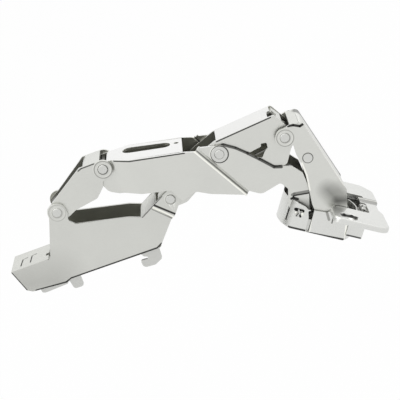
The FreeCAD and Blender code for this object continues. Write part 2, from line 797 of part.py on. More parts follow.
flange = new_body("cup_flange")
flange.Placement = cup_place
rim = new_sketch(flange, "XY_Plane", at(mouth), "flange_outline")
fh = size["flange_half"]
slot_y = size["front_link_half"] + 0.6
outline(
    rim,
    [
        (15.2, slot_y),
        (15.2, slot_y + 0.9, 0.3),
        (12.6, slot_y + 3.3, 1.0),
        (12.6, fh, 3.5),
        (front_wall + 5.25, fh, 5.0),
        (front_wall + 10.45, fh - 6.0, 4.0),
        (front_wall + 10.55, 8.0, 1.5),
        (front_wall + 9.05, 4.0, 1.5),
        (front_wall + 9.05, -4.0, 1.5),
        (front_wall + 10.55, -8.0, 1.5),
        (front_wall + 10.65, -fh, 5.0),
        (12.6, -fh, 3.5),
        (12.6, -slot_y - 3.3, 1.0),
        (15.2, -slot_y - 0.9, 0.3),
        (15.2, -slot_y),
        (front_wall + 3.45, -slot_y, 1.6),
        (front_wall + 3.45, 1.6, 1.2),
        (front_wall + 0.85, 1.6, 0.6),
        (front_wall + 0.85, slot_y - 2.3, 0.6),
        (front_wall + 3.45, slot_y - 2.3, 0.6),
        (front_wall + 3.45, slot_y, 1.0),
    ],
)
flange_pad = flange.newObject("PartDesign::Pad", "flange_sheet")
flange_pad.Profile = rim
flange_pad.setExpression("Length", "Sizes.flange_thickness")
rim.Visibility = False
doc.recompute()
upper = []
for i, edge in enumerate(flange_pad.Shape.Edges, start=1):
    local = edge.CenterOfMass
    if abs(local.z - mouth - size["flange_thickness"]) < 0.01:
        if abs(local.y) > slot_y + 3.2 or local.x > front_wall + 4.25:
            upper.append("Edge%d" % i)
roll = flange.newObject("PartDesign::Fillet", "rolled_rim")
roll.Base = (flange_pad, upper)
roll.Radius = 0.9
doc.recompute()
print("rolled rim", roll.State, len(upper))
screw_x = centre + size["screw_offset"]


def screw_holes(sketch):
    circle(sketch, (screw_x, size["screw_half_pitch"]), size["screw_hole_radius"])
    circle(sketch, (screw_x, -size["screw_half_pitch"]), size["screw_hole_radius"])


pocket(flange, "screw_holes", "XY_Plane", at(mouth + size["flange_thickness"]), screw_holes)
doc.recompute()
dish = []
drilled = flange.Tip
for i, edge in enumerate(drilled.Shape.Edges, start=1):
    local = edge.CenterOfMass
    on_top = abs(local.z - mouth - size["flange_thickness"]) < 0.01
    if len(edge.Vertexes) == 1 and on_top and abs(local.x - screw_x) < 0.1:
        dish.append("Edge%d" % i)
sink = flange.newObject("PartDesign::Chamfer", "screw_dishes")
sink.Base = (drilled, dish)
sink.setExpression("Size", "Sizes.screw_dish")

rear_cup_pin = cross_pin("cup_rear_pin", (0.0, 0.0), "pin_radius", "2 * Sizes.cup_flat + 0.3", 0.2, cup_place)


def end_cross(sketch):
    points = [(-0.35, -1.5), (0.35, -1.5), (0.35, -0.35), (1.5, -0.35), (1.5, 0.35), (0.35, 0.35)]
    points += [(0.35, 1.5), (-0.35, 1.5), (-0.35, 0.35), (-1.5, 0.35), (-1.5, -0.35), (-0.35, -0.35)]
    turn = math.radians(28)
    cos, sin = math.cos(turn), math.sin(turn)
    outline(sketch, [(a * cos - b * sin, a * sin + b * cos) for a, b in points])


pocket(rear_cup_pin, "punched_cross", "XZ_Plane", at(size["cup_flat"] + 0.15), end_cross, 0.7)
cross_pin("cup_front_pin", (18.0, 0.58), "pin_radius", "2 * Sizes.cup_flat - Sizes.cup_wall", 0.2, cup_place)

# insert: moulded block on the cup floor that carries the linkage stops
insert = new_body("cup_insert")
insert.Placement = cup_place
profile = new_sketch(insert, "XZ_Plane", at(0), "insert_profile")
inside_floor = floor + size["cup_floor"]
outline(
    profile,
    [
        (rear_wall + 4.55, inside_floor),
        (rear_wall + 4.55, -5.0, 0.8),
        (6.0, -5.0, 0.8),
        (8.5, -6.0, 0.8),
        (17.5, -6.0, 1.5),
        (front_wall - 5.25, -1.0, 1.5),
        (front_wall - 4.45, 2.6, 0.5),
        (front_wall - 2.45, 2.6, 0.5),
        (front_wall - 2.45, -3.0, 1.0),
        (front_wall - 4.75, inside_floor, 0.5),
    ],
)
block = insert.newObject("PartDesign::Pad", "insert_block")
block.Profile = profile
block.Length = 13.0
block.Midplane = True
profile.Visibility = False

# tab with its riveted post under the front of the flange
tab = new_body("flange_tab")
tab.Placement = cup_place
tab_sketch = new_sketch(tab, "XY_Plane", at(mouth - 1.2), "tab_outline")
tab_near = front_wall + 0.15
tab_far = front_wall + 6.25
outline(tab_sketch, [(tab_near, -8.6, 1.0), (tab_far, -8.6, 1.0), (tab_far, 1.0, 1.0), (tab_near, 1.0, 1.0)])
tab_pad = tab.newObject("PartDesign::Pad", "tab_sheet")
tab_pad.Profile = tab_sketch
tab_pad.Length = 1.2
tab_sketch.Visibility = False
post_sketch = new_sketch(tab, "XY_Plane", at(mouth), "post_circle")
circle(post_sketch, (front_wall + 1.85, -3.2), 1.05)
post_pad = tab.newObject("PartDesign::Pad", "post")
post_pad.Profile = post_sketch
post_pad.Length = 2.9
post_sketch.Visibility = False

# lever spring: small wire bow that pushes the release lever shut
bow = new_body("lever_spring")
bow_sketch = new_sketch(bow, "XZ_Plane", at(0), "bow_outline")
outline(
    bow_sketch,
    [(15.0, 6.7), (15.0, 6.95), (21.0, 6.95, 0.3), (21.0, 6.3, 0.3), (18.2, 6.3, 0.5), (15.4, 5.4)],
)
bow_pad = bow.newObject("PartDesign::Pad", "bow")
bow_pad.Profile = bow_sketch
bow_pad.Length = 3.0
bow_pad.Midplane = True
bow_sketch.Visibility = False

doc.recompute()
for item in doc.Objects:
    if "Invalid" in item.State or "Error" in item.State:
        print("state", item.Name, item.State)
os.makedirs("parts", exist_ok=True)
for body in made:
    shape = body.Shape
    if shape.isNull() or not shape.isValid():
        print("bad shape", body.Label)
        continue
    shape.exportStep("parts/%s.step" % body.Label)
    box = shape.BoundBox
    corners = (box.XMin, box.XMax, box.YMin, box.YMax, box.ZMin, box.ZMax)
    print(body.Label, len(shape.Solids), round(shape.Volume, 1), [round(v, 1) for v in corners])
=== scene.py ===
import bpy
import json
import math
from mathutils import Matrix, Vector

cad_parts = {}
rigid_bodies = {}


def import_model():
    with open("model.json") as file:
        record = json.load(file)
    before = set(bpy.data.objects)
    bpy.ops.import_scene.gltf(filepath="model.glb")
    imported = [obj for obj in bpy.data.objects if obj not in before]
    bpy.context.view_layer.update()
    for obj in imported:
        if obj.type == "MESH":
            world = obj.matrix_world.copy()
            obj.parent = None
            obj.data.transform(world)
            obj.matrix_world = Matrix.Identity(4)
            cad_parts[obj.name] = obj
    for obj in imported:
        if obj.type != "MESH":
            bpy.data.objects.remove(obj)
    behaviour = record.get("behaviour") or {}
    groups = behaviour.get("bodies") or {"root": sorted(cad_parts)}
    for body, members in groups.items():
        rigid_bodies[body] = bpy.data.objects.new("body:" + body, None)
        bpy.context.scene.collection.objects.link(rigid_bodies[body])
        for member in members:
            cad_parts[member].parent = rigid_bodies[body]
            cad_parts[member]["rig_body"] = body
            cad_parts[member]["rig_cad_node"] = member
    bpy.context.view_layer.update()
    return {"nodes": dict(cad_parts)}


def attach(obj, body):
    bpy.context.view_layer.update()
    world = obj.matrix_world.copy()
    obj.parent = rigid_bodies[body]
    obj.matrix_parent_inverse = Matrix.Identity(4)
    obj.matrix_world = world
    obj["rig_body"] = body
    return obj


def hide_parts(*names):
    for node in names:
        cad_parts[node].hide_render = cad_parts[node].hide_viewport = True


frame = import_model()
nodes = frame["nodes"]
print("frame loaded,", len(nodes), "nodes")

mm = 0.001

# pivots of the linkage, along the arm and up from the mounting plane, in mm
pivots = {
    "armRear": (20.91, 31.91),
    "rearLink": (47.31, 43.23),
    "armFront": (70.52, 19.86),
    "crossing": (98.16, 31.84),
    "frontLink": (127.75, 29.07),
    "linkRivet": (134.30, 16.64),
    "cupRear": (122.54, -5.87),
}
cupTilt = math.radians(34.8)

# an edge is rounded as a bend where both its ends lie within this reach of the bend line, in mm
bendReach = 0.25
shortestBend = 0.4


# selection and mesh helpers
def pickOnly(piece):
    bpy.ops.object.select_all(action="DESELECT")
    piece.hide_set(False)
    piece.select_set(True)
    bpy.context.view_layer.objects.active = piece


def editMesh(piece, mode="EDGE"):
    pickOnly(piece)
    bpy.ops.object.mode_set(mode="EDIT")
    bpy.ops.mesh.select_mode(type=mode)
    bpy.ops.mesh.select_all(action="DESELECT")
    bpy.ops.object.mode_set(mode="OBJECT")


def applyAll(piece):
    pickOnly(piece)
    for modifier in list(piece.modifiers):
        bpy.ops.object.modifier_apply(modifier=modifier.name)


def nearLine(point, start, end, reach):
    a = Vector((start[0] * mm, start[1] * mm))
    b = Vector((end[0] * mm, end[1] * mm))
    p = Vector((point.x, point.z))
    run = b - a
    share = (p - a).dot(run) / run.length_squared
    return -0.02 < share < 1.02 and (p - a - run * share).length < reach


# gives the piece its finish and hangs it on its body
def finishPiece(piece, finish, body):
    piece.data.materials.clear()
    piece.data.materials.append(finishes[finish])
    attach(piece, body)


# a CAD node's own shape, merged into clean faces, with its bends and rims rounded
def dressNode(name, settings):
    source = nodes[name]
    pickOnly(source)
    bpy.ops.object.duplicate()
    piece = bpy.context.object
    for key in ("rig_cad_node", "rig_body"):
        if key in piece:
            del piece[key]
    piece.parent = None
    piece.name = settings["piece"]
    piece.data.name = settings["piece"]
    bpy.ops.object.mode_set(mode="EDIT")
    bpy.ops.mesh.select_all(action="SELECT")
    bpy.ops.mesh.remove_doubles(threshold=0.004 * mm)
    bpy.ops.mesh.dissolve_limited(angle_limit=math.radians(0.6))
    bpy.ops.mesh.normals_make_consistent(inside=False)
    bpy.ops.mesh.select_all(action="DESELECT")
    bpy.ops.object.mode_set(mode="OBJECT")
    if "bends" in settings:
        roundBends(piece, settings)
    rim = piece.modifiers.new("rim", "BEVEL")
    rim.width = settings["rim"] * mm
    rim.segments = 2
    rim.limit_method = "ANGLE"
    rim.angle_limit = math.radians(38)
    rim.harden_normals = False
    rim.use_clamp_overlap = True
    applyAll(piece)
    pickOnly(piece)
    bpy.ops.object.shade_smooth_by_angle(angle=math.radians(28))
    evenShading(piece)
    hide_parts(name)
    finishPiece(piece, settings["finish"], settings["body"])


# large flat faces keep their own direction beside the small rounded ones
def evenShading(piece):
    weighted = piece.modifiers.new("evenShading", "WEIGHTED_NORMAL")
    weighted.keep_sharp = True
    weighted.weight = 60
    applyAll(piece)


def roundBends(piece, settings):
    editMesh(piece)
    chosen = 0
    for edge in piece.data.edges:
        a = piece.data.vertices[edge.vertices[0]].co
        b = piece.data.vertices[edge.vertices[1]].co
        if abs(abs(a.y) - abs(b.y)) > 0.3 * mm or a.y * b.y < 0:
            continue
        for start, end, half in settings["bends"]:
            if min(abs(a.y), abs(b.y)) < (half - 0.1) * mm:
                continue
            onBend = nearLine(a, start, end, bendReach * mm) and nearLine(b, start, end, bendReach * mm)
            if onBend and (a - b).length > shortestBend * mm:
                edge.select = True
                chosen += 1
                break
    bpy.ops.object.mode_set(mode="EDIT")
    if chosen:
        bpy.ops.mesh.bevel(
            offset=settings["bendRadius"] * mm, segments=5, affect="EDGES", clamp_overlap=True,
        )
    bpy.ops.mesh.select_all(action="DESELECT")
    bpy.ops.object.mode_set(mode="OBJECT")
    print("bends", piece.name, chosen)


# shared shading groups
def newGroup(name, inputs, outputs):
    group = bpy.data.node_groups.new(name, "ShaderNodeTree")
    for label, kind, value in inputs:
        socket = group.interface.new_socket(name=label, in_out="INPUT", socket_type=kind)
        if value is not None:
            socket.default_value = value
    for label, kind in outputs:
        group.interface.new_socket(name=label, in_out="OUTPUT", socket_type=kind)
    return group, group.nodes.new("NodeGroupInput"), group.nodes.new("NodeGroupOutput")


def mathNode(tree, operation, first, second=None, clamp=False):
    node = tree.nodes.new("ShaderNodeMath")
    node.operation = operation
    node.use_clamp = clamp
    for index, value in enumerate((first, second)):
        if value is None:
            continue
        if isinstance(value, (int, float)):
            node.inputs[index].default_value = value
        else:
            tree.links.new(value, node.inputs[index])
    return node.outputs[0]


def vectorNode(tree, operation, first, second):
    node = tree.nodes.new("ShaderNodeVectorMath")
    node.operation = operation
    tree.links.new(first, node.inputs[0])
    if second is not None:
        tree.links.new(second, node.inputs[1])
    return node.outputs["Value" if operation in ("DOT_PRODUCT", "LENGTH") else "Vector"]


def scaledVector(tree, vector, factor):
    node = tree.nodes.new("ShaderNodeVectorMath")
    node.operation = "SCALE"
    tree.links.new(vector, node.inputs[0])
    tree.links.new(factor, node.inputs["Scale"])
    return node.outputs["Vector"]


def splitVector(tree, vector):
    node = tree.nodes.new("ShaderNodeSeparateXYZ")
    tree.links.new(vector, node.inputs[0])
    return node.outputs


def noiseNode(tree, vector, scale, detail):
    node = tree.nodes.new("ShaderNodeTexNoise")
    node.inputs["Scale"].default_value = scale
    node.inputs["Detail"].default_value = detail
    tree.links.new(vector, node.inputs["Vector"])
    return node.outputs["Fac"]


def mixColour(tree, share, first, second):
    node = tree.nodes.new("ShaderNodeMix")
    node.data_type = "RGBA"
    for socket, value in ((node.inputs[0], share), (node.inputs[6], first), (node.inputs[7], second)):
        if isinstance(value, tuple):
            socket.default_value = value
        else:
            tree.links.new(value, socket)
    return node.outputs[2]


# plating: soft mottling, fine rolling grain and a little handling wear
def makePlatingGroup():
    group, given, out = newGroup(
        "plating",
        [
            ("Vector", "NodeSocketVector", None),
            ("Tone", "NodeSocketColor", (0.65, 0.65, 0.63, 1.0)),
            ("Mottle", "NodeSocketFloat", 0.06),
            ("Grain", "NodeSocketFloat", 1.0),
            ("Gloss", "NodeSocketFloat", 0.3),
        ],
        [("Colour", "NodeSocketColor"), ("Roughness", "NodeSocketFloat"), ("Height", "NodeSocketFloat")],
    )
    place = given.outputs["Vector"]
    broad = noiseNode(group, place, 60.0, 3.0)
    stretched = group.nodes.new("ShaderNodeMapping")
    stretched.inputs["Scale"].default_value = (350.0, 2600.0, 2600.0)
    group.links.new(place, stretched.inputs["Vector"])
    rolled = noiseNode(group, stretched.outputs[0], 1.0, 4.0)
    speck = noiseNode(group, place, 5200.0, 2.0)
    swing = mathNode(group, "MULTIPLY", mathNode(group, "SUBTRACT", broad, 0.5), given.outputs["Mottle"])
    swing = mathNode(group, "MULTIPLY", swing, 2.0)
    fine = mathNode(group, "MULTIPLY", mathNode(group, "SUBTRACT", rolled, 0.5), 0.05)
    lift = mathNode(group, "ADD", mathNode(group, "ADD", swing, fine), 1.0)
    group.links.new(scaledVector(group, given.outputs["Tone"], lift), out.inputs["Colour"])
    rough = mathNode(group, "MULTIPLY", mathNode(group, "SUBTRACT", speck, 0.5), 0.12)
    rough = mathNode(group, "ADD", rough, mathNode(group, "MULTIPLY", broad, 0.08))
    rough = mathNode(group, "ADD", rough, given.outputs["Gloss"], clamp=True)
    group.links.new(rough, out.inputs["Roughness"])
    grain = mathNode(group, "MULTIPLY", rolled, 0.6)
    height = mathNode(group, "ADD", grain, mathNode(group, "MULTIPLY", speck, 0.4))
    height = mathNode(group, "MULTIPLY", height, given.outputs["Grain"])
    group.links.new(height, out.inputs["Height"])
    return group


# painted shade on the inner faces and the downward-facing cut edges of pressed sheet, with a Top mask for
# painted light on upward faces
def makePaintedShadeGroup():
    group, given, out = newGroup(
        "paintedShadeAndTopLight",
        [
            ("Vector", "NodeSocketVector", None),
            ("Normal", "NodeSocketVector", None),
            ("Outward", "NodeSocketVector", (0.0, 0.0, 1.0)),
            ("Amount", "NodeSocketFloat", 1.0),
        ],
        [("Mask", "NodeSocketFloat"), ("Top", "NodeSocketFloat")],
    )
    place = splitVector(group, given.outputs["Vector"])
    facing = splitVector(group, given.outputs["Normal"])
    across = mathNode(group, "MULTIPLY", place["Y"], facing["Y"])
    inner = mathNode(group, "LESS_THAN", across, -0.003)
    # painted shade where faces turn down, painted highlight where they turn up
    upward = vectorNode(group, "DOT_PRODUCT", given.outputs["Normal"], given.outputs["Outward"])
    under = mathNode(group, "SUBTRACT", mathNode(group, "MULTIPLY", upward, -2.2), 0.5, clamp=True)
    top = mathNode(group, "SUBTRACT", mathNode(group, "MULTIPLY", upward, 5.0), 4.0, clamp=True)
    group.links.new(top, out.inputs["Top"])
    mask = mathNode(group, "MAXIMUM", inner, under)
    mask = mathNode(group, "MULTIPLY", mask, given.outputs["Amount"])
    group.links.new(mask, out.inputs["Mask"])
    return group


# straight line drawn on a face: Keep Y 0 lets it show at any depth between Near and Far
def makeLineGroup():
    group, given, out = newGroup(
        "drawnLine",
        [
            ("Vector", "NodeSocketVector", None),
            ("Start", "NodeSocketVector", (0.0, 0.0, 0.0)),
            ("Run", "NodeSocketVector", (0.01, 0.0, 0.0)),
            ("Width", "NodeSocketFloat", 0.0003),
            ("Keep Y", "NodeSocketFloat", 0.0),
            ("Near", "NodeSocketFloat", 0.008),
            ("Far", "NodeSocketFloat", 1.0),
            ("Hardness", "NodeSocketFloat", 3.0),
        ],
        [("Mask", "NodeSocketFloat")],
    )
    parts = splitVector(group, given.outputs["Vector"])
    point = group.nodes.new("ShaderNodeCombineXYZ")
    group.links.new(parts["X"], point.inputs["X"])
    group.links.new(mathNode(group, "MULTIPLY", parts["Y"], given.outputs["Keep Y"]), point.inputs["Y"])
    group.links.new(parts["Z"], point.inputs["Z"])
    reach = vectorNode(group, "SUBTRACT", point.outputs[0], given.outputs["Start"])
    along = vectorNode(group, "DOT_PRODUCT", reach, given.outputs["Run"])
    whole = vectorNode(group, "DOT_PRODUCT", given.outputs["Run"], given.outputs["Run"])
    share = mathNode(group, "DIVIDE", along, whole, clamp=True)
    gap = vectorNode(group, "SUBTRACT", reach, scaledVector(group, given.outputs["Run"], share))
    away = vectorNode(group, "LENGTH", gap, None)
    mask = mathNode(group, "SUBTRACT", 1.0, mathNode(group, "DIVIDE", away, given.outputs["Width"]))
    mask = mathNode(group, "MULTIPLY", mask, given.outputs["Hardness"], clamp=True)
    depth = mathNode(group, "ABSOLUTE", parts["Y"])
    mask = mathNode(group, "MULTIPLY", mask, mathNode(group, "GREATER_THAN", depth, given.outputs["Near"]))
    mask = mathNode(group, "MULTIPLY", mask, mathNode(group, "LESS_THAN", depth, given.outputs["Far"]))
    group.links.new(mask, out.inputs["Mask"])
    return group


# ring drawn around a pivot on both sides of the hinge
def makeRingGroup():
    group, given, out = newGroup(
        "drawnRing",
        [
            ("Vector", "NodeSocketVector", None),
            ("Centre", "NodeSocketVector", (0.0, 0.0, 0.0)),
            ("Radius", "NodeSocketFloat", 0.002),
            ("Width", "NodeSocketFloat", 0.0003),
            ("Depth", "NodeSocketFloat", 0.008),
        ],
        [("Mask", "NodeSocketFloat")],
    )
    parts = splitVector(group, given.outputs["Vector"])
    flat = group.nodes.new("ShaderNodeCombineXYZ")
    group.links.new(parts["X"], flat.inputs["X"])
    group.links.new(parts["Z"], flat.inputs["Z"])
    reach = vectorNode(group, "SUBTRACT", flat.outputs[0], given.outputs["Centre"])
    away = vectorNode(group, "LENGTH", reach, None)
    off = mathNode(group, "ABSOLUTE", mathNode(group, "SUBTRACT", away, given.outputs["Radius"]))
    mask = mathNode(group, "SUBTRACT", 1.0, mathNode(group, "DIVIDE", off, given.outputs["Width"]))
    mask = mathNode(group, "MULTIPLY", mask, 3.0, clamp=True)
    side = mathNode(group, "GREATER_THAN", mathNode(group, "ABSOLUTE", parts["Y"]), given.outputs["Depth"])
    mask = mathNode(group, "MULTIPLY", mask, side)
    group.links.new(mask, out.inputs["Mask"])
    return group


plating = makePlatingGroup()
paintedShadeAndTopLight = makePaintedShadeGroup()
drawnLine = makeLineGroup()
drawnRing = makeRingGroup()


# painted highlights, painted shade and painted reflections drawn as lines, rings and soft patches, with some
# dark seams and slits, in mm: kind, place, width, tone, share
def drawMarks(tree, place, colour, marks, depth):
    for kind, start, end, width, tone, share in marks:
        node = tree.nodes.new("ShaderNodeGroup")
        node.node_tree = drawnRing if kind == "ring" else drawnLine
        tree.links.new(place, node.inputs["Vector"])
        node.inputs["Width"].default_value = width * mm
        if kind == "ring":
            node.inputs["Centre"].default_value = (start[0] * mm, 0.0, start[1] * mm)
            node.inputs["Radius"].default_value = end * mm
            node.inputs["Depth"].default_value = depth[0] * mm
        elif kind == "top":
            first, last = Vector(start) * mm, Vector(end) * mm
            node.inputs["Start"].default_value = first
            node.inputs["Run"].default_value = last - first
            node.inputs["Keep Y"].default_value = 1.0
            node.inputs["Near"].default_value = -1.0
        else:
            node.inputs["Start"].default_value = (start[0] * mm, 0.0, start[1] * mm)
            node.inputs["Run"].default_value = ((end[0] - start[0]) * mm, 0.0, (end[1] - start[1]) * mm)
            node.inputs["Near"].default_value = depth[0] * mm
            node.inputs["Far"].default_value = depth[1] * mm
            node.inputs["Hardness"].default_value = 1.0 if kind == "soft" else 3.0
        mask = mathNode(tree, "MULTIPLY", node.outputs["Mask"], share)
        # each mark mixes its tone in: dark tones paint shade, white tones paint highlights
        colour = mixColour(tree, mask, colour, (tone, tone, tone * 0.93, 1.0))
    return colour


def makeFinish(name, settings):
    material = bpy.data.materials.new(name)
    material.use_nodes = True
    tree = material.node_tree
    shader = tree.nodes["Principled BSDF"]
    coords = tree.nodes.new("ShaderNodeTexCoord")
    coat = tree.nodes.new("ShaderNodeGroup")
    coat.node_tree = plating
    tree.links.new(coords.outputs["Object"], coat.inputs["Vector"])
    coat.inputs["Tone"].default_value = (*settings["tone"], 1.0)
    coat.inputs["Mottle"].default_value = settings.get("mottle", 0.05)
    coat.inputs["Grain"].default_value = settings.get("grain", 1.0)
    coat.inputs["Gloss"].default_value = settings["gloss"]
    colour = coat.outputs["Colour"]
    # painted top light on upward faces, then painted shade on inner and downward faces
    if "outward" in settings:
        inside = tree.nodes.new("ShaderNodeGroup")
        inside.node_tree = paintedShadeAndTopLight
        tree.links.new(coords.outputs["Object"], inside.inputs["Vector"])
        tree.links.new(coords.outputs["Normal"], inside.inputs["Normal"])
        inside.inputs["Outward"].default_value = settings["outward"]
        inside.inputs["Amount"].default_value = 0.85
        if "paintedTopLightTone" in settings:
            colour = mixColour(tree, inside.outputs["Top"], colour, (*settings["paintedTopLightTone"], 1.0))
        colour = mixColour(tree, inside.outputs["Mask"], colour, (*settings["paintedShadeTone"], 1.0))
    # painted shade on the middle of the pins, between the plates
    if "middle" in settings:
        across = splitVector(tree, coords.outputs["Object"])["Y"]
        middle = mathNode(tree, "LESS_THAN", mathNode(tree, "ABSOLUTE", across), settings["middle"] * mm)
        colour = mixColour(tree, middle, colour, (*settings["middleTone"], 1.0))
    depth = settings.get("markDepth", (7.6, 50.0))
    colour = drawMarks(tree, coords.outputs["Object"], colour, paintedLightAndSeams.get(name, []), depth)
    tree.links.new(colour, shader.inputs["Base Color"])
    tree.links.new(coat.outputs["Roughness"], shader.inputs["Roughness"])
    shader.inputs["Metallic"].default_value = settings.get("metal", 0.9)
    bump = tree.nodes.new("ShaderNodeBump")
    bump.inputs["Strength"].default_value = settings.get("bump", 0.12)
    bump.inputs["Distance"].default_value = 0.00005
    tree.links.new(coat.outputs["Height"], bump.inputs["Height"])
    tree.links.new(bump.outputs["Normal"], shader.inputs["Normal"])
    return material


# a place on the cup, from its own directions along and out of the door
def onCup(along, across, out):
    x = pivots["cupRear"][0] + along * math.cos(cupTilt) + out * math.sin(cupTilt)
    z = pivots["cupRear"][1] - along * math.sin(cupTilt) + out * math.cos(cupTilt)
    return (x, across, z)


# dark and light ring a little apart, as a riveted edge catches the light
def rivetRing(centre, radius, dark, share):
    low = (centre[0] + 0.12, centre[1] - 0.16)
    high = (centre[0] - 0.14, centre[1] + 0.2)
    return [("ring", high, radius, 0.3, 1.0, share * 0.6), ("ring", low, radius, 0.3, dark, share)]


# the same mark along a row of points
def joined(kind, points, width, tone, share):
    return [(kind, a, b, width, tone, share) for a, b in zip(points, points[1:])]


# punched cross drawn as dark lines, with two short painted highlights on its edges
punchedCross = (
    joined("line", [(121.6, -3.9), (124.2, -5.9)], 0.95, 0.004, 1.0)
    + joined("line", [(122.6, -5.2), (122.3, -8.0)], 0.55, 0.01, 1.0)
    + joined("line", [(122.6, -5.4), (120.7, -7.0)], 0.35, 0.04, 0.9)
    + joined("line", [(121.0, -5.3), (121.5, -5.7)], 0.55, 1.0, 1.0)
    + joined("line", [(123.7, -6.8), (123.4, -7.5)], 0.6, 1.0, 1.0)
)

